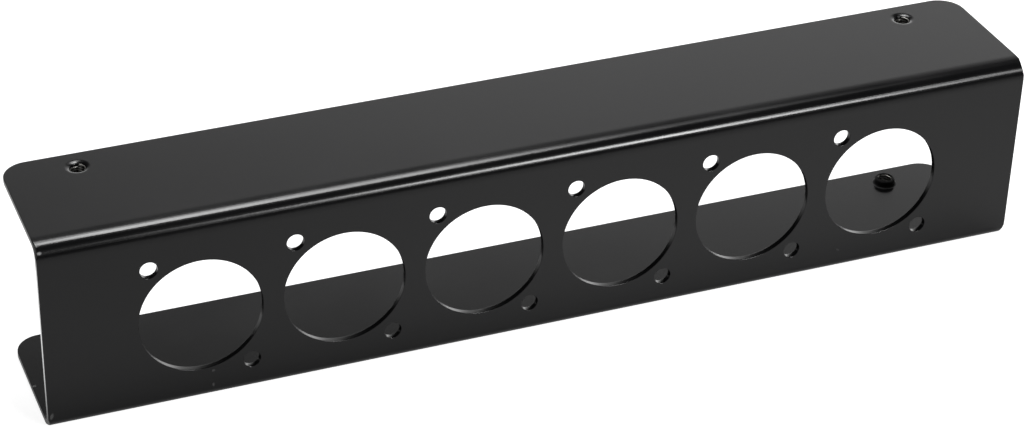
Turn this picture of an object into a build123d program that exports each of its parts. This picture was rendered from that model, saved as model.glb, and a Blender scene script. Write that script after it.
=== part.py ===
from build123d import *
from math import cos, radians, sin
import os

# A connector panel for rack and case work, in millimetres, +Z up.
# It is one strip of sheet steel, folded twice into a channel: a tall front face with a row of
# round connector cut-outs, and two flanges that run backwards from it. It rests on the lower
# flange. The origin is the middle of the resting face, and -Y is the front.

# Sheet and folds
sheet_thickness = 1.2
panel_length = 200.0
panel_height = 40.4
panel_depth = 29.8
fold_angle = 90.0
bend_outer_radius = 2.6
ease_radius = 12.5  # the sheet eases into and out of each tight bend at this radius
ease_angle = 8.0
rear_corner_radius = 5.0
bend_end_pull = 0.35  # how far folding draws the outer skin in at the cut ends of a bend

# Connector cut-outs: a round hole with two screw holes on a diagonal
connector_count = 6
connector_pitch = 28.0
connector_row_height = 19.2
connector_hole_diameter = 24.0
screw_hole_diameter = 3.4
screw_hole_across = 9.5
screw_hole_up = 12.0

# Drawn and tapped M3 holes, two in each flange, with their collars inside the channel
tapped_hole_from_end = 14.0
tapped_hole_from_rear = 5.0
thread_diameter = 3.0
dish_diameter = 5.1
dish_depth = 0.35
collar_diameter = 4.1
collar_rise = 1.4  # above the inner face of the sheet
collar_root_radius = 0.5
collar_tip_radius = 0.45
collar_round_steps = 3

front_y = -panel_depth / 2
rear_y = panel_depth / 2
end_x = panel_length / 2

# A fold turns in three arcs: how far before the corner its first arc starts, and how far the axis
# of its tight arc lies inside the outer faces
ease = radians(ease_angle)
bend_reach = ease_radius * (sin(ease) + 1 - cos(ease)) + bend_outer_radius * (cos(ease) - sin(ease))
bend_axis_inset = ease_radius - (ease_radius - bend_outer_radius) * cos(ease)

# The slope at a bend's cut end, on the line that halves the bend: x runs in from the end of the
# panel and y outwards from the bend's axis. It starts just before the tight arc does.
flat_level = bend_outer_radius * cos(radians(45))
clear_level = bend_outer_radius + sheet_thickness
clear_pull = bend_end_pull * (clear_level - flat_level) / (bend_outer_radius - flat_level)

with BuildPart() as bend_end_slope:
    with BuildSketch(Plane.XY):
        with BuildLine():
            Polyline(
                (0, flat_level),
                (clear_pull, clear_level),
                (-clear_pull, clear_level),
                close=True,
            )
        make_face()
    extrude(amount=bend_outer_radius, both=True)

lower_bend_z = bend_axis_inset
upper_bend_z = panel_height - bend_axis_inset
bend_ends = [
    Plane(
        (side * end_x, front_y + bend_axis_inset, bend_z),
        x_dir=(-side, 0, 0),
        z_dir=Vector(-side, 0, 0).cross(Vector(0, -1, outward_z)),
    )
    for side in (-1, 1)
    for bend_z, outward_z in ((lower_bend_z, -1), (upper_bend_z, 1))
]

# A drawn hole, as if the outer face of the sheet were z = 0 and the collar rose along +Z
collar_radius = collar_diameter / 2
collar_tip = sheet_thickness + collar_rise
root_foot = collar_radius + collar_root_radius
turns = [radians(fold_angle * step / collar_round_steps) for step in range(collar_round_steps + 1)]
root_curve = [
    (root_foot - collar_root_radius * sin(turn), sheet_thickness + collar_root_radius * (1 - cos(turn)))
    for turn in turns
]
tip_curve = [
    (collar_radius - collar_tip_radius * (1 - cos(turn)), collar_tip - collar_tip_radius * (1 - sin(turn)))
    for turn in turns
]

with BuildPart() as drawn_collar:
    with BuildSketch(Plane.XZ):
        with BuildLine():
            Polyline(
                (0, sheet_thickness / 2),
                (root_foot, sheet_thickness / 2),
                *root_curve,
                *tip_curve,
                (0, collar_tip),
                close=True,
            )
        make_face()
    revolve(axis=Axis.Z)

# Its bore is as wide as the screw, and the dish round it is where the punch pulled the sheet down
bore_radius = thread_diameter / 2
dish_rim = (dish_diameter / 2, 0)
bore_edge = (bore_radius, dish_depth)

with BuildPart() as dish_and_bore:
    with BuildSketch(Plane.XZ):
        with BuildLine():
            TangentArc(dish_rim, bore_edge, tangent=(-1, 0))
            Polyline(bore_edge, (bore_radius, collar_tip), (0, collar_tip), (0, 0), dish_rim)
        make_face()
    revolve(axis=Axis.Z)

tapped_hole_y = rear_y - tapped_hole_from_rear
tapped_holes = [
    Plane((side * (end_x - tapped_hole_from_end), tapped_hole_y, outer_z), z_dir=(0, 0, inward))
    for side in (-1, 1)
    for outer_z, inward in ((0, 1), (panel_height, -1))
]


def fold(flat):
    """Draw a fold on from the end of a flat: ease in, turn tight, ease out."""
    tight_angle = fold_angle - 2 * ease_angle
    ease_in = JernArc(flat @ 1, flat % 1, radius=ease_radius, arc_size=-ease_angle)
    tight = JernArc(ease_in @ 1, ease_in % 1, radius=bend_outer_radius, arc_size=-tight_angle)
    return JernArc(tight @ 1, tight % 1, radius=ease_radius, arc_size=-ease_angle)


with BuildPart() as connector_panel:
    # The sheet's outer face as one line, thickened inwards and run out along the panel
    with BuildSketch(Plane.YZ):
        with BuildLine():
            lower_flange = Line((rear_y, 0), (front_y + bend_reach, 0))
            lower_fold = fold(lower_flange)
            front = Line(lower_fold @ 1, (front_y, panel_height - bend_reach))
            upper_fold = fold(front)
            Line(upper_fold @ 1, (rear_y, panel_height))
            offset(amount=sheet_thickness, side=Side.RIGHT)
        make_face()
    extrude(amount=end_x, both=True)

    rear_corners = connector_panel.edges().filter_by(Axis.Z).group_by(Axis.Y)[-1]
    fillet(rear_corners, radius=rear_corner_radius)

    with Locations(*bend_ends):
        add(bend_end_slope.part, mode=Mode.SUBTRACT)

    # Cut-outs, seen from the front
    front_face = Plane((0, front_y, connector_row_height), x_dir=(1, 0, 0), z_dir=(0, -1, 0))
    with BuildSketch(front_face):
        with GridLocations(connector_pitch, 0, connector_count, 1):
            Circle(connector_hole_diameter / 2)
            with Locations((-screw_hole_across, screw_hole_up), (screw_hole_across, -screw_hole_up)):
                Circle(screw_hole_diameter / 2)
    extrude(amount=-sheet_thickness, mode=Mode.SUBTRACT)

    with Locations(*tapped_holes):
        add(drawn_collar.part)
        add(dish_and_bore.part, mode=Mode.SUBTRACT)

connector_panel.part.label = "connector_panel"

os.makedirs("parts", exist_ok=True)
export_step(connector_panel.part, "parts/connector_panel.step")
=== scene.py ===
# %% [markdown]
# # A connector panel, folded from one strip of sheet steel
#
# The real object is a strip of 1.2 mm sheet steel. Its round connector cut-outs are punched
# first, then two long folds turn the strip into a channel, and at last the whole part is
# hung up and powder-coated in satin black. The exact shape is already in the CAD model. This
# script gives it what a coating does to sheet metal: soft edges, a fine skin and reflections.

import math

import bpy
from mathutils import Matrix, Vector


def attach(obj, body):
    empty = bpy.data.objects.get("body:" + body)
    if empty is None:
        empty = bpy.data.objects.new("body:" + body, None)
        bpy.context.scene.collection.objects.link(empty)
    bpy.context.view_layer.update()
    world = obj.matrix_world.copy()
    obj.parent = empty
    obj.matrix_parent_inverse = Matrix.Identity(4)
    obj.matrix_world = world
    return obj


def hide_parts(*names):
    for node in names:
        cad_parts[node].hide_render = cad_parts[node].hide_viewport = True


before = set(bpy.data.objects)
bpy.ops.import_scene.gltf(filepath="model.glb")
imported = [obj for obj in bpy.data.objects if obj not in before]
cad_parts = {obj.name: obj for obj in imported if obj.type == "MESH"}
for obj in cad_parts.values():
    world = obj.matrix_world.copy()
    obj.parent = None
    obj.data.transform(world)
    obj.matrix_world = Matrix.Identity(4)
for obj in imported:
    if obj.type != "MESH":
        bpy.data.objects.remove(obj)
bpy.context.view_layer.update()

# %% [markdown]
# ## Measures
#
# Blender works in metres here, and sheet metal is drawn in millimetres, so every length of the
# part is written in millimetres and multiplied by `MM`. They are the same values as in the
# drawing. Lamps and camera stand further off, and their places are simply in metres.

# %% Measures from the drawing
MM = 0.001
PANEL_LENGTH = 200.0 * MM
PANEL_HEIGHT = 40.4 * MM
PANEL_DEPTH = 29.8 * MM
SHEET = 1.2 * MM
END_X = PANEL_LENGTH / 2
FRONT_Y = -PANEL_DEPTH / 2
REAR_Y = PANEL_DEPTH / 2
TAPPED_X = END_X - 14.0 * MM
TAPPED_Y = REAR_Y - 5.0 * MM
CUT_OUTS = 6
CUT_OUT_PITCH = 28.0 * MM
CUT_OUT_RADIUS = 12.0 * MM
ROW_Z = 19.2 * MM
SCREW_ACROSS = 9.5 * MM  # a screw hole lies this far left or right of its cut-out's middle
SCREW_UP = 12.0 * MM  # and this far above or below it
SCREW_RADIUS = 1.7 * MM
print("tapped holes at x =", round(TAPPED_X, 4), "and y =", round(TAPPED_Y, 4))


# %% [markdown]
# ## Helpers for materials
#
# A colour is picked as a hex code, which is in sRGB, while the render engine counts in linear
# light, so one function turns one into the other. Another adds a node to a material: its
# settings are given as names and values, and an input is given a value, or the node or output
# that it is linked to.


# %% Helpers for materials
def linear(hex_code):
    """The linear RGBA colour of an sRGB hex code such as '#0a0a0c'."""
    parts = [int(hex_code[i : i + 2], 16) / 255 for i in (1, 3, 5)]
    return [p / 12.92 if p <= 0.04045 else ((p + 0.055) / 1.055) ** 2.4 for p in parts] + [1.0]


def add_node(tree, kind, inputs=None, **settings):
    """A new node of that kind, with its settings, its input values and its links.

    An input that is given a node is linked to the first output that the node has in use.
    """
    node = tree.nodes.new(kind)
    for name, value in settings.items():
        setattr(node, name, value)
    for socket, value in (inputs or {}).items():
        if isinstance(value, bpy.types.Node):
            value = next(output for output in value.outputs if output.enabled)
        if isinstance(value, bpy.types.NodeSocket):
            tree.links.new(value, node.inputs[socket])
        else:
            node.inputs[socket].default_value = value
    return node


def new_material(name):
    """An empty node material and its tree."""
    material = bpy.data.materials.new(name)
    material.use_nodes = True
    material.node_tree.nodes.clear()
    return material, material.node_tree


print("black of the coat in linear light:", [round(v, 4) for v in linear("#0b0b0d")])

# %% [markdown]
# ## The coated panel
#
# On the real part the powder melts over every cut edge and leaves it round, with a radius near
# a tenth of a millimetre. That thin round edge is what draws a fine light line round a hole.
# It could be faked with a shader, but then the exported mesh would have razor edges. So the
# CAD mesh is copied, its loose triangles are merged, flat areas are dissolved into single
# faces, and a Bevel modifier rounds what is sharp.
#
# A face can't have a hole in it, only an outline. So the sheet is first cut across at each
# screw hole, and those seams are kept: every hole is then a notch in the outline of two or
# more faces.

# %% Copy the CAD mesh and merge it
SAME_POINT = 0.0005 * MM  # two corners that are nearer than this are one
ON_CUT = 0.001 * MM  # a corner that is nearer than this to a cut lies on it
FLAT = math.radians(0.5)

panel = bpy.data.objects.new("coated_panel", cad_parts["connector_panel"].data.copy())
bpy.context.scene.collection.objects.link(panel)
bpy.ops.object.select_all(action="DESELECT")
panel.select_set(True)
bpy.context.view_layer.objects.active = panel

bpy.ops.object.mode_set(mode="EDIT")
bpy.ops.mesh.select_all(action="SELECT")
bpy.ops.mesh.customdata_custom_splitnormals_clear()
bpy.ops.mesh.remove_doubles(threshold=SAME_POINT)
cut_out_xs = [(i - (CUT_OUTS - 1) / 2) * CUT_OUT_PITCH for i in range(CUT_OUTS)]
seam_xs = [-TAPPED_X, TAPPED_X]
seam_xs += [x + side * SCREW_ACROSS for x in cut_out_xs for side in (-1, 1)]
for x in seam_xs:
    bpy.ops.mesh.select_all(action="SELECT")
    bpy.ops.mesh.bisect(plane_co=(x, 0, 0), plane_no=(1, 0, 0), threshold=ON_CUT)
    bpy.ops.mesh.mark_seam()
bpy.ops.mesh.select_all(action="SELECT")
bpy.ops.mesh.dissolve_limited(angle_limit=FLAT, use_dissolve_boundaries=False, delimit={"SEAM"})
bpy.ops.object.mode_set(mode="OBJECT")
print("faces after merging:", len(panel.data.polygons))

# %% [markdown]
# ## Rounder holes
#
# The CAD mesh draws each round hole as a polygon, of 54 sides for a cut-out, which shows in a
# close view. More sides could come from a finer CAD export, but every other curve would grow
# with it. So each side of a rim is halved here, and its new middle is pushed out to the circle.

# %% Make the punched holes rounder
ON_RIM = 0.05 * MM  # a point that is nearer than this to a hole's circle is on its rim
HOLES = [(x, ROW_Z, CUT_OUT_RADIUS) for x in cut_out_xs]
for x in cut_out_xs:
    HOLES.append((x - SCREW_ACROSS, ROW_Z + SCREW_UP, SCREW_RADIUS))
    HOLES.append((x + SCREW_ACROSS, ROW_Z - SCREW_UP, SCREW_RADIUS))


def hole_at(point):
    """The hole whose rim this point of the front sheet lies on, or None."""
    if point.y < FRONT_Y + SHEET + ON_RIM:
        for x, z, radius in HOLES:
            if abs(math.hypot(point.x - x, point.z - z) - radius) < ON_RIM:
                return x, z, radius
    return None


mesh = panel.data
bpy.ops.object.mode_set(mode="EDIT")
bpy.ops.mesh.select_mode(type="EDGE")
bpy.ops.mesh.select_all(action="DESELECT")
bpy.ops.object.mode_set(mode="OBJECT")
for edge in mesh.edges:
    ends = [mesh.vertices[i].co for i in edge.vertices]
    hole, other = hole_at(ends[0]), hole_at(ends[1])
    along_rim = abs(ends[0].y - ends[1].y) < ON_RIM
    edge.select = along_rim and hole is not None and hole == other
print("rim edges to halve:", sum(edge.select for edge in mesh.edges))

bpy.ops.object.mode_set(mode="EDIT")
bpy.ops.mesh.subdivide(number_cuts=1)
bpy.ops.object.mode_set(mode="OBJECT")
for vertex in mesh.vertices:
    hole = hole_at(vertex.co)
    if hole:
        x, z, radius = hole
        stretch = radius / math.hypot(vertex.co.x - x, vertex.co.z - z)
        vertex.co.x = x + (vertex.co.x - x) * stretch
        vertex.co.z = z + (vertex.co.z - z) * stretch
print("faces with rounder holes:", len(mesh.polygons))

# %% [markdown]
# ## Soft edges
#
# A Bevel modifier with three segments rounds whatever is sharp, and the fold and the round
# walls, whose faces meet at small angles, stay as they are. Weighted normals keep the large
# faces flat in reflections, right up to the rounding.

# %% Round the cut edges
EDGE_RADIUS = 0.12 * MM
SHARP = math.radians(35)  # a bend of this much or more is an edge to round
SMOOTH = math.radians(40)

bevel = panel.modifiers.new("coated edges", "BEVEL")
bevel.width = EDGE_RADIUS
bevel.segments = 3
bevel.limit_method = "ANGLE"
bevel.angle_limit = SHARP
bevel.use_clamp_overlap = False
bevel.loop_slide = False
bevel.miter_outer = "MITER_ARC"
bpy.ops.object.modifier_apply(modifier=bevel.name)

bpy.ops.object.shade_smooth_by_angle(angle=SMOOTH)
weighted = panel.modifiers.new("flat faces stay flat", "WEIGHTED_NORMAL")
weighted.keep_sharp = True
weighted.weight = 90
bpy.ops.object.modifier_apply(modifier=weighted.name)
print("faces with rounded edges:", len(panel.data.polygons))

# %% [markdown]
# ## Threads in the four drawn holes
#
# Each flange has two holes that a punch drew inwards into a collar, and a tap then cut an M3
# thread in it. A thread is one ridge that climbs half a millimetre a turn. A Screw modifier
# makes it from the ridge's cross-section, which is drawn once, and the copies are put in the
# other holes.

# %% One thread
THREAD_PITCH = 0.5 * MM
THREAD_ROOT = 1.53 * MM  # just inside the wall of the bore, which has a radius of 1.5 mm
THREAD_CREST = 1.24 * MM
ROOT_HALF = 0.44 * THREAD_PITCH  # half of the ridge's height where it leaves the wall
CREST_HALF = 0.07 * THREAD_PITCH  # and at its crest
THREAD_TURNS = 3.6
THREAD_STEPS = 144  # 40 to a turn
THREAD_START = 0.5 * MM  # above the outer face of the flange
THREAD_FIRST_ANGLE = math.radians(290)  # where round the hole the ridge begins

bpy.ops.object.select_all(action="DESELECT")
bpy.ops.mesh.primitive_plane_add(size=THREAD_PITCH)
thread = bpy.context.active_object
thread.name = "m3_thread_lower_left"
ridge = (
    (THREAD_ROOT, -ROOT_HALF),
    (THREAD_ROOT, ROOT_HALF),
    (THREAD_CREST, CREST_HALF),
    (THREAD_CREST, -CREST_HALF),
)
ring = [thread.data.vertices[i] for i in thread.data.polygons[0].vertices]
for vertex, (radius, height) in zip(ring, ridge):
    x, y = radius * math.cos(THREAD_FIRST_ANGLE), radius * math.sin(THREAD_FIRST_ANGLE)
    vertex.co = Vector((x, y, height))
bpy.ops.object.mode_set(mode="EDIT")
bpy.ops.mesh.select_all(action="SELECT")
bpy.ops.mesh.delete(type="ONLY_FACE")
bpy.ops.object.mode_set(mode="OBJECT")

screw = thread.modifiers.new("climbing ridge", "SCREW")
screw.axis = "Z"
screw.angle = math.tau * THREAD_TURNS
screw.screw_offset = THREAD_PITCH * THREAD_TURNS
screw.iterations = 1
screw.steps = THREAD_STEPS
screw.render_steps = THREAD_STEPS
screw.use_normal_calculate = True
bpy.ops.object.modifier_apply(modifier=screw.name)

bpy.ops.object.mode_set(mode="EDIT")
bpy.ops.mesh.select_all(action="DESELECT")
bpy.ops.mesh.select_mode(type="EDGE")
bpy.ops.mesh.select_non_manifold(extend=False)
bpy.ops.mesh.edge_face_add()
bpy.ops.mesh.select_all(action="SELECT")
bpy.ops.mesh.normals_make_consistent(inside=False)
bpy.ops.object.mode_set(mode="OBJECT")
print("faces in one thread:", len(thread.data.polygons))

# %% Put a thread in each of the four holes
# A half turn about X keeps a thread right-handed, which a mirror would not.
threads = []
for level in ("lower", "upper"):
    for side in ("left", "right"):
        piece = thread if not threads else thread.copy()
        if threads:
            piece.data = thread.data.copy()
            bpy.context.scene.collection.objects.link(piece)
        piece.name = f"m3_thread_{level}_{side}"
        threads.append(piece)

for piece in threads:
    upper, right = "upper" in piece.name, "right" in piece.name
    for vertex in piece.data.vertices:
        x, y, z = vertex.co
        z += THREAD_START
        if upper:
            y, z = -y, PANEL_HEIGHT - z
        vertex.co = Vector((x + (TAPPED_X if right else -TAPPED_X), y + TAPPED_Y, z))
    piece.data.update()
print("threads:", [piece.name for piece in threads])

# %% [markdown]
# ## Satin black powder coat
#
# Powder coat is a polyester resin that is sprayed as dust and melted in an oven. It flows into
# a smooth skin with a very faint orange peel, about a millimetre from bump to bump, and a
# satin one scatters a reflection a little. Nearly all that the eye sees of such a black is
# what it reflects, so the base is close to black and the work is in roughness and bump.

# %% The coat's skin
PEEL_PER_MM = 0.9  # bumps of the orange peel to a millimetre
GRAIN_PER_MM = 4.2  # and of a finer grain on them
CLOUD_PER_MM = 0.045  # clouds of a slightly duller coat, some 20 mm across
PEEL_DEPTH = 0.1 * MM

coat, tree = new_material("satin_black_powder_coat")
place = add_node(tree, "ShaderNodeTexCoord").outputs["Object"]
peel = add_node(
    tree,
    "ShaderNodeTexNoise",
    {"Vector": place, "Scale": PEEL_PER_MM / MM, "Detail": 3, "Roughness": 0.5},
)
grain = add_node(
    tree,
    "ShaderNodeTexNoise",
    {"Vector": place, "Scale": GRAIN_PER_MM / MM, "Detail": 2, "Roughness": 0.6},
)
skin = add_node(tree, "ShaderNodeMix", {"Factor": 0.35, "A": peel, "B": grain})
bump = add_node(
    tree, "ShaderNodeBump", {"Height": skin, "Strength": 0.06, "Distance": PEEL_DEPTH}
)

cloud = add_node(
    tree, "ShaderNodeTexNoise", {"Vector": place, "Scale": CLOUD_PER_MM / MM, "Detail": 4}
)
roughness = add_node(
    tree,
    "ShaderNodeMapRange",
    {"Value": cloud, "From Min": 0.3, "From Max": 0.7, "To Min": 0.19, "To Max": 0.24},
)
shade = add_node(
    tree,
    "ShaderNodeMix",
    {"Factor": cloud, "A": linear("#09090a"), "B": linear("#0d0d0e")},
    data_type="RGBA",
)
print("material:", coat.name)

# %% [markdown]
# ## Small marks and painted highlights
#
# The part has been handled: it has a smear near a corner and some dust, and there is a pale
# spot on the channel's floor. The other pale spots are painted highlights: two at the left end
# of the upper fold and one on a bump of the left cut end stand for the light that these round
# places catch. They could be painted on a picture, but a picture would have to be unwrapped
# onto the part. Here each mark is an ellipsoid in space, and where it meets the surface the
# coat is paler and duller. A Mapping node of type Texture moves, turns and shrinks the space so
# that the mark becomes a ball of radius 1, and the distance from its middle then says how
# strong it is.

# %% Marks and painted highlights on the coat
MARKS_AND_HIGHLIGHTS = (  # middle and reach in millimetres, turn about Y in degrees, strength
    # The first two entries and the fourth are painted highlights, not wear: pale spots where
    # the light catches the end of the upper fold and a bump on the left cut end.
    ("painted highlight at the end of the upper fold", (-99.25, -14.5, 38.97), (0.56, 0.6, 0.34), 0, 0.70),
    ("painted highlight on the corner of the upper fold", (-99.5, -13.4, 40.0), (0.4, 0.5, 0.5), 0, 0.25),
    ("spot on the channel's floor", (-99.6, -1.6, 1.2), (0.5, 0.42, 0.3), 0, 1.0),
    ("painted highlight of a bump on the left cut end", (-100.0, -13.7, 6.9), (0.3, 0.4, 0.5), 0, 0.85),
    ("smear at the lower left corner", (-99.3, -14.9, 3.25), (0.42, 0.3, 1.00), 15, 0.22),
    ("dust under the first cut-out", (-68.1, -14.9, 6.33), (0.42, 0.3, 0.36), 0, 0.13),
    ("dust near the lower fold", (-68.2, -14.9, 3.1), (0.32, 0.3, 0.60), 0, 0.15),
    ("dust by the last cut-out", (61.95, -14.9, 4.95), (0.6, 0.3, 0.28), 45, 0.05),
    ("dust on the upper flange", (7.5, -8.2, 40.4), (0.4, 0.4, 0.3), 0, 0.03),
)
FULL_WITHIN = 0.35  # a mark has its full strength in this share of its reach
marks_and_painted_highlights = 0.0
for title, middle, reach, turn, strength in MARKS_AND_HIGHLIGHTS:
    ball = add_node(
        tree,
        "ShaderNodeMapping",
        {
            "Vector": place,
            "Location": [length * MM for length in middle],
            "Rotation": (0.0, math.radians(turn), 0.0),
            "Scale": [length * MM for length in reach],
        },
        vector_type="TEXTURE",
    )
    far = add_node(tree, "ShaderNodeVectorMath", {0: ball}, operation="LENGTH")
    mark = add_node(
        tree,
        "ShaderNodeMapRange",
        {"Value": far, "From Min": FULL_WITHIN, "From Max": 1, "To Min": strength, "To Max": 0},
        interpolation_type="SMOOTHSTEP",
    )
    marks_and_painted_highlights = add_node(tree, "ShaderNodeMath", {0: marks_and_painted_highlights, 1: mark}, operation="MAXIMUM")
print("marks:", [title for title, *rest in MARKS_AND_HIGHLIGHTS])

# %% [markdown]
# ## A thin coat on the collars
#
# Charged powder doesn't reach well into the corners of a channel. On the collars the coat is
# thin and dull, so they show no clear reflection. They could have a material of their own, but
# the coat has no edge there. So the same material grows duller near the four axes: the space
# is folded to one corner by taking absolute values, and the distance from that one axis is
# the mask. It counts only between the flanges.

# %% Dull collars
DULL_REACH = 2.7 * MM  # from an axis to where the coat is no longer dull
DULL_WITHIN = 0.8 * DULL_REACH  # and as far as it is fully dull
INNER_FACE = PANEL_HEIGHT / 2 - SHEET  # of a flange, from the middle of the channel
MASK_EDGE = 0.02 * MM  # the mask ends over this length

middle_of_holes = (0.0, TAPPED_Y, PANEL_HEIGHT / 2)
folded = add_node(
    tree, "ShaderNodeVectorMath", {0: place, 1: middle_of_holes}, operation="SUBTRACT"
)
folded = add_node(tree, "ShaderNodeVectorMath", {0: folded}, operation="ABSOLUTE")
off_axis = add_node(
    tree, "ShaderNodeVectorMath", {0: folded, 1: (TAPPED_X, 0, 0)}, operation="SUBTRACT"
)
off_axis = add_node(
    tree, "ShaderNodeVectorMath", {0: off_axis, 1: (1, 1, 0)}, operation="MULTIPLY"
)
off_axis = add_node(tree, "ShaderNodeVectorMath", {0: off_axis}, operation="LENGTH")
near = add_node(
    tree,
    "ShaderNodeMapRange",
    {
        "Value": off_axis,
        "From Min": DULL_WITHIN,
        "From Max": DULL_REACH,
        "To Min": 1,
        "To Max": 0,
    },
    interpolation_type="SMOOTHSTEP",
)
from_middle = add_node(tree, "ShaderNodeSeparateXYZ", {"Vector": folded}).outputs["Z"]
inside = add_node(
    tree,
    "ShaderNodeMapRange",
    {
        "Value": from_middle,
        "From Min": INNER_FACE - MASK_EDGE,
        "From Max": INNER_FACE,
        "To Min": 1,
        "To Max": 0,
    },
    interpolation_type="SMOOTHSTEP",
)
dull = add_node(tree, "ShaderNodeMath", {0: near, 1: inside}, operation="MULTIPLY")
roughness = add_node(tree, "ShaderNodeMix", {"Factor": dull, "A": roughness, "B": 0.9})
print("dull within", round(DULL_REACH / MM, 2), "mm of an axis")

# %% The coat with its marks and painted highlights
# This pale colour paints the highlights among the marks as well as the dust and the smear.
shade = add_node(
    tree,
    "ShaderNodeMix",
    {"Factor": marks_and_painted_highlights, "A": shade, "B": linear("#a8a8a8")},
    data_type="RGBA",
)
roughness = add_node(tree, "ShaderNodeMix", {"Factor": marks_and_painted_highlights, "A": roughness, "B": 0.6})
surface = add_node(
    tree,
    "ShaderNodeBsdfPrincipled",
    {"Base Color": shade, "Roughness": roughness, "IOR": 1.45, "Normal": bump},
)
add_node(tree, "ShaderNodeOutputMaterial", {"Surface": surface})
panel.data.materials.clear()
panel.data.materials.append(coat)
print("nodes in the coat:", len(tree.nodes))

# %% [markdown]
# ## Bare steel in the threads
#
# The holes are tapped after coating, or cleared with a tap, so the ridges are bare steel. Cut
# steel is a metal with fine marks. A tap's marks run round the hole, but they are far too fine
# to be seen, so a plain noise that changes the roughness and the shade stands for them.

# %% Cut steel
TAP_MARKS_PER_MM = 2.5

steel, tree = new_material("cut_steel")
place = add_node(tree, "ShaderNodeTexCoord").outputs["Object"]
tap_marks = add_node(
    tree, "ShaderNodeTexNoise", {"Vector": place, "Scale": TAP_MARKS_PER_MM / MM, "Detail": 3}
)
roughness = add_node(
    tree,
    "ShaderNodeMapRange",
    {"Value": tap_marks, "From Min": 0.3, "From Max": 0.7, "To Min": 0.22, "To Max": 0.42},
)
shade = add_node(
    tree,
    "ShaderNodeMix",
    {"Factor": tap_marks, "A": linear("#5a5957"), "B": linear("#8e8c88")},
    data_type="RGBA",
)
surface = add_node(
    tree,
    "ShaderNodeBsdfPrincipled",
    {"Base Color": shade, "Metallic": 1.0, "Roughness": roughness},
)
add_node(tree, "ShaderNodeOutputMaterial", {"Surface": surface})
for piece in threads:
    piece.data.materials.clear()
    piece.data.materials.append(steel)
print("material:", steel.name)

# %% [markdown]
# ## What moves with what
#
# The panel is one rigid body, so each piece rides on `root`. The coated copy stands for the
# CAD node, which is then hidden.

# %% Attach the pieces
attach(panel, "root")
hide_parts("connector_panel")
for piece in threads:
    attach(piece, "root")

# %% [markdown]
# ## Patches of light
#
# A black satin part shows its surroundings. In the photograph it lies on a pale table that
# runs far back behind it and ends a hand's width in front of it, and the rest of the room is
# dark. That is why the flat faces look grey and the folds have black bands.
#
# To the camera the table and the world are white. In reflections they are only as bright as
# the photograph shows them, patch by patch, and the Light Path node tells a reflected ray from
# one of the camera's. A patch has a brightness and soft edges across X, Y or Z, so the same
# two functions serve both: on the table the patches lie at places, in the world in directions.


# %% Patches of light
def lit_patches(tree, where, patches):
    """The sum of the patches, each of which fades in across its edges."""
    split = add_node(tree, "ShaderNodeSeparateXYZ", {"Vector": where})
    total = 0.0
    for brightness, edges in patches:
        patch = brightness
        for axis, begins, full in edges:
            edge = add_node(
                tree,
                "ShaderNodeMapRange",
                {"Value": split.outputs[axis], "From Min": begins, "From Max": full},
                interpolation_type="SMOOTHSTEP",
            )
            patch = add_node(tree, "ShaderNodeMath", {0: patch, 1: edge}, operation="MULTIPLY")
        total = add_node(tree, "ShaderNodeMath", {0: total, 1: patch}, operation="ADD")
    return total


def glow_level(tree, where, patches, elsewhere, to_camera):
    """The brightness that a ray meets: to_camera for the camera's own rays, else elsewhere.

    A reflected ray meets the patches as well.
    """
    ray = add_node(tree, "ShaderNodeLightPath").outputs
    lit = lit_patches(tree, where, patches)
    lit = add_node(
        tree, "ShaderNodeMath", {0: ray["Is Glossy Ray"], 1: lit}, operation="MULTIPLY"
    )
    lit = add_node(tree, "ShaderNodeMath", {0: lit, 1: elsewhere}, operation="ADD")
    seen = add_node(
        tree,
        "ShaderNodeMath",
        {0: ray["Is Camera Ray"], 1: ray["Is Transmission Ray"]},
        operation="MAXIMUM",
    )
    return add_node(tree, "ShaderNodeMix", {"Factor": seen, "A": lit, "B": to_camera})


BEHIND = ("Y", -0.0175, -0.0130)  # in metres; this edge lies under the part's front face
IN_FRONT = ("Y", -0.0150, -0.0175)
TABLE_PATCHES = (  # brightness, then the edges, each with where it begins and is at its full
    (0.31, (BEHIND,)),
    (1.59, (BEHIND, ("Y", 0.044, 0.036), ("X", -0.1005, -0.1045))),  # left of the left end
    (0.19, (IN_FRONT,)),
    (0.11, (IN_FRONT, ("X", -0.080, 0.030))),  # more of it on the right
)
BACK = ("Y", 0.20, 0.55)
SWEEP_HEIGHT = ("Z", 0.645, 0.465)
SKY_PATCHES = (
    (0.82, (("X", -0.22, 0.30), BACK, SWEEP_HEIGHT)),  # the sweep behind the part
    (0.15, (("X", 0.25, 0.34), BACK, SWEEP_HEIGHT)),  # its right half
    (1.30, (("X", -0.22, 0.30), BACK, ("Z", 0.36, 0.12))),  # brighter low down
    (0.35, (("X", -0.20, -0.45), ("Y", -0.05, -0.30), ("Z", -0.05, 0.05))),  # wall on the left
)
print("patches:", len(TABLE_PATCHES), "on the table and", len(SKY_PATCHES), "in the room")

# %% [markdown]
# ## A table to lie on
#
# The table is one large plane, on which the part has its own shadow. It stops in front of the
# part, nearer on the right, because its reflection in the front face does. Behind the part it
# has a gloss, as a laminated board has at a low angle, so that low reflections show the bright
# sweep in it.

# %% Table
TABLE_SIZE = 3.0
TABLE_FRONT_Y = -121.0 * MM
TABLE_SLANT = 0.105  # its front edge comes nearer to the part at the right
TABLE_Z = -0.02 * MM  # a hair under the part, so that the two faces don't lie in each other
CAMERA_LIT = 0.92  # with the light of the lamps on it, the table then looks white

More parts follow.
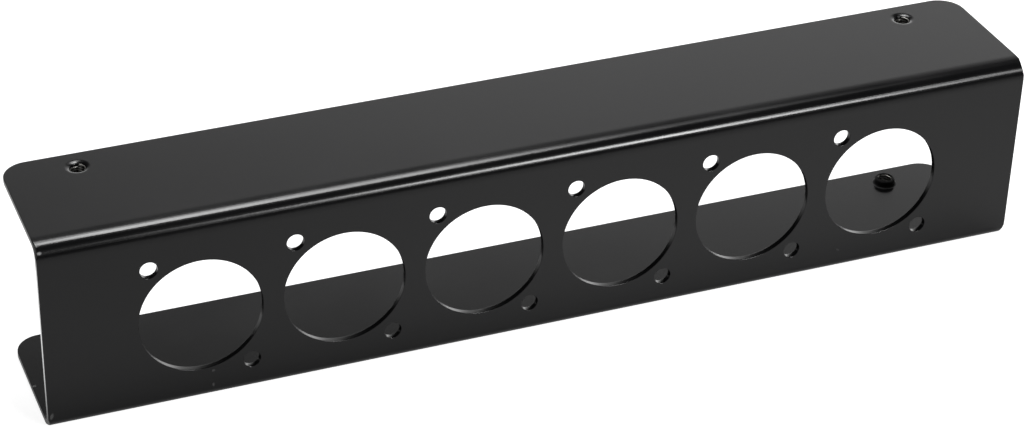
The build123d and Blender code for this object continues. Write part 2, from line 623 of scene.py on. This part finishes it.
bpy.ops.object.select_all(action="DESELECT")
bpy.ops.mesh.primitive_plane_add(size=1.0)
table = bpy.context.active_object
table.name = "white_table"
for vertex in table.data.vertices:
    x, y, z = vertex.co
    x *= TABLE_SIZE
    y = TABLE_FRONT_Y + TABLE_SLANT * x + (y + 0.5) * TABLE_SIZE
    vertex.co = Vector((x, y, TABLE_Z))

white, tree = new_material("white_table_top")
place = add_node(tree, "ShaderNodeTexCoord").outputs["Object"]
level = glow_level(tree, place, TABLE_PATCHES, 0.0, CAMERA_LIT)
matt = add_node(tree, "ShaderNodeBsdfDiffuse", {"Color": linear("#bcbcbc")})
glow = add_node(tree, "ShaderNodeEmission", {"Color": linear("#ffffff"), "Strength": level})
both = add_node(tree, "ShaderNodeAddShader", {0: matt, 1: glow})

gloss = add_node(tree, "ShaderNodeBsdfGlossy", {"Color": linear("#ffffff"), "Roughness": 0.1})
grazing = add_node(tree, "ShaderNodeFresnel", {"IOR": 1.45})
is_behind = lit_patches(tree, place, ((1.0, (BEHIND,)),))
is_mirrored = add_node(tree, "ShaderNodeLightPath").outputs["Is Glossy Ray"]
shine = add_node(tree, "ShaderNodeMath", {0: grazing, 1: is_behind}, operation="MULTIPLY")
shine = add_node(tree, "ShaderNodeMath", {0: shine, 1: is_mirrored}, operation="MULTIPLY")
top = add_node(tree, "ShaderNodeMixShader", {0: shine, 1: both, 2: gloss})
add_node(tree, "ShaderNodeOutputMaterial", {"Surface": top})
table.data.materials.append(white)
print("table:", table.name)

# %% [markdown]
# ## A dark room
#
# The room could be a picture of a studio, but the part only shows a few soft patches of it. So
# the world is white to the camera and, in reflections, a dark grey with the patches on it.

# %% World
ROOM_LEVEL = 0.031  # the walls of the dark room

world = bpy.data.worlds.new("room")
bpy.context.scene.world = world
world.use_nodes = True
tree = world.node_tree
tree.nodes.clear()
direction = add_node(tree, "ShaderNodeTexCoord").outputs["Generated"]
level = glow_level(tree, direction, SKY_PATCHES, ROOM_LEVEL, 1.0)
sky = add_node(tree, "ShaderNodeBackground", {"Color": linear("#ffffff"), "Strength": level})
add_node(tree, "ShaderNodeOutputWorld", {"Surface": sky})
print("world:", world.name)

# %% [markdown]
# ## Two softboxes, each of several lamps
#
# Each fold shows two bright lines. One is the reflection of a long softbox that hangs nearly
# straight above, a little behind the part, and the other that of a low strip light in front on
# the right. The lines swell and fade along the part, which one even lamp can't give, so each
# softbox is made of a few lamps side by side, each at a level of its own. A lamp's watts are
# its wanted brightness times its area times pi, so the levels are written as a brightness.


# %% Lamps
def softbox(name, centre, aim, size, brightness):
    """A rectangular area lamp that faces aim; brightness 1 is white."""
    data = bpy.data.lights.new(name, "AREA")
    data.shape = "RECTANGLE"
    data.size, data.size_y = size
    data.energy = brightness * math.pi * size[0] * size[1]
    lamp = bpy.data.objects.new(name, data)
    bpy.context.scene.collection.objects.link(lamp)
    lamp.location = centre
    lamp.rotation_euler = (Vector(aim) - Vector(centre)).to_track_quat("-Z", "Y").to_euler()
    return lamp


OVERHEAD_Y, OVERHEAD_Z = 0.114, 0.64
OVERHEAD_SIZE = (0.06, 0.222)
OVERHEAD_LEVELS = (16.6, 21.8, 8.7, 14.8)  # from left to right
STRIP_AIM = (0.0, 0.0, 0.04)
SOFTBOXES = []  # name, centre, aim, size, brightness
for i, level in enumerate(OVERHEAD_LEVELS):
    x = i * OVERHEAD_SIZE[0]  # side by side
    centre, aim = (x, OVERHEAD_Y, OVERHEAD_Z), (x, OVERHEAD_Y, 0.0)
    SOFTBOXES.append((f"overhead_{i + 1}", centre, aim, OVERHEAD_SIZE, level))
SOFTBOXES += [
    ("overhead_right", (0.285, 0.235, OVERHEAD_Z), (0.285, 0.235, 0.0), (0.15, 0.41), 0.85),
    ("overhead_rear", (0.09, 0.345, OVERHEAD_Z), (0.09, 0.345, 0.0), (0.26, 0.22), 6.2),
    ("front_strip", (0.390, -0.815, 0.367), STRIP_AIM, (0.39, 0.235), 8.3),
    ("front_strip_middle", (0.385, -0.81, 0.367), STRIP_AIM, (0.12, 0.235), 25.0),
    ("front_strip_left", (0.274, -0.863, 0.366), STRIP_AIM, (0.043, 0.23), 20.5),
]
lamps = [softbox(*values) for values in SOFTBOXES]
print("lamps:", [lamp.name for lamp in lamps])

# %% [markdown]
# ## The camera
#
# The photograph is cropped from a wider one, so the lens's axis isn't in the middle of the
# picture and the camera has a small shift. Its place, turn and focal length were solved from
# the rims of the cut-outs and the outline of the panel.

# %% Camera
camera_data = bpy.data.cameras.new("camera")
camera_data.sensor_width = 36.0
camera_data.lens = 99.08
camera_data.shift_x = 0.1452
camera_data.shift_y = -0.0428
camera_data.clip_start = 0.01
camera_data.clip_end = 20.0
camera = bpy.data.objects.new("camera", camera_data)
bpy.context.scene.collection.objects.link(camera)
camera.location = (-0.18124, -0.43026, 0.31368)
camera.rotation_euler = [math.radians(a) for a in (58.4571, 0.2388, -19.1368)]
bpy.context.scene.camera = camera
bpy.context.scene.view_settings.view_transform = "Standard"
print("camera height above the table:", round(camera.location.z, 4))
